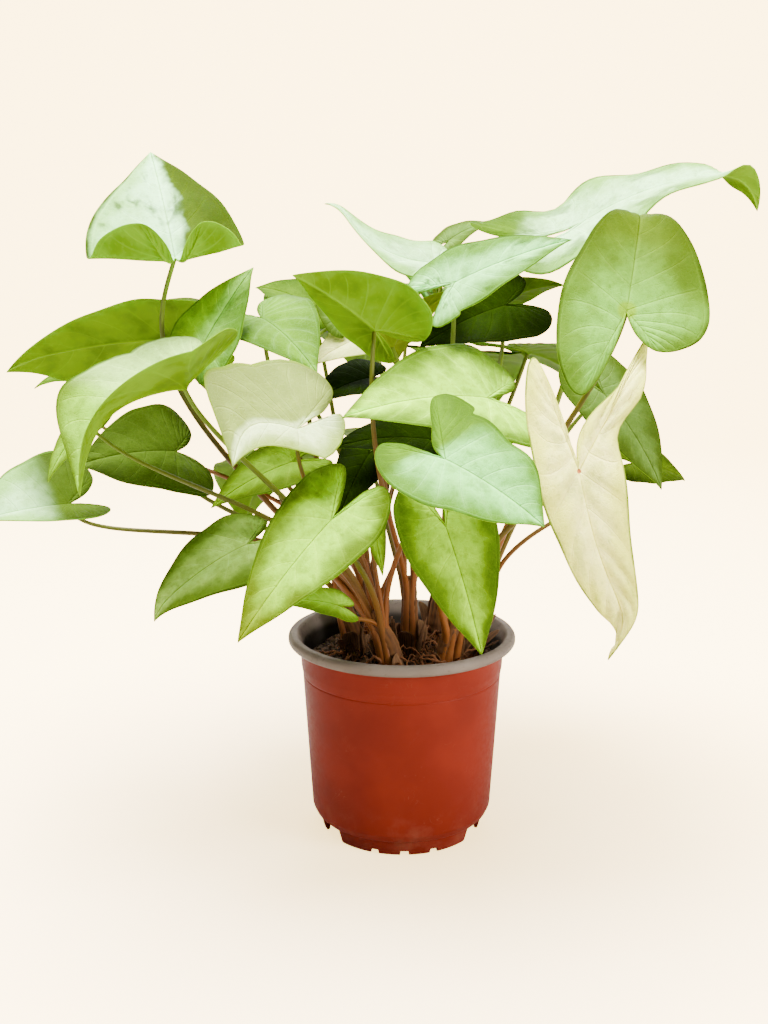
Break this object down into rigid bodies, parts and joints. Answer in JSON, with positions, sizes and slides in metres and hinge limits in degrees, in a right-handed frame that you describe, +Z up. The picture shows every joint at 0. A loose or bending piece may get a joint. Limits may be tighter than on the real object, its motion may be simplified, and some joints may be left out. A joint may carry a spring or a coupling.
{
  "type": "potted arrowhead plant",
  "caption": "Bushy arrowhead plant with arrow-shaped leaves on long stalks, standing in soil in a round tapered nursery pot.",
  "frame": {"origin": "middle of the pot's foot, on the surface that the pot stands on", "axes": "+Z up along the pot's axis, -Y towards the side of the plant that shows best, +X to that side's right"},
  "size_m": [0.3931, 0.2832, 0.3533],
  "materials": {
    "pot": "terracotta-red nursery plastic with a grey rolled rim, lightly scuffed and dusty",
    "soil": "dark loose peat potting soil with bark bits",
    "stem": "olive-green leaf stalks turning orange-brown at the foot",
    "leaf": "soft waxy leaf, mottled mint-white, lime and mid green with olive undersides"
  },
  "bodies": {
    "root": {"leaf_01": "leaf", "leaf_02": "leaf", "leaf_03": "leaf", "leaf_04": "leaf", "leaf_05": "leaf", "leaf_06": "leaf", "leaf_07": "leaf", "leaf_08": "leaf", "leaf_09": "leaf", "leaf_10": "leaf", "leaf_11": "leaf", "leaf_12": "leaf", "leaf_13": "leaf", "leaf_14": "leaf", "leaf_15": "leaf", "leaf_16": "leaf", "leaf_17": "leaf", "leaf_18": "leaf", "leaf_19": "leaf", "leaf_20": "leaf", "leaf_21": "leaf", "leaf_22": "leaf", "leaf_23": "leaf", "leaf_24": "leaf", "leaf_25": "leaf", "leaf_26": "leaf", "leaf_27": "leaf", "leaf_28": "leaf", "leaf_29": "leaf", "leaf_30": "leaf", "leaf_31": "leaf", "leaf_32": "leaf", "leaf_33": "leaf", "leaf_34": "leaf", "leaf_35": "leaf", "leaf_36": "leaf", "leaf_37": "leaf", "leaf_38": "leaf", "leaf_39": "leaf", "leaf_40": "leaf", "leaf_41": "leaf", "leaf_42": "leaf", "leaf_43": "leaf", "leaf_44": "leaf", "leaf_45": "leaf", "leaf_46": "leaf", "leaf_47": "leaf", "leaf_48": "leaf", "pot": "pot", "soil": "soil", "stem_a": "stem", "stem_b": "stem", "stem_c": "stem", "stem_d": "stem", "stem_e": "stem", "stem_f": "stem", "stem_g": "stem"}
  },
  "joints": []
}
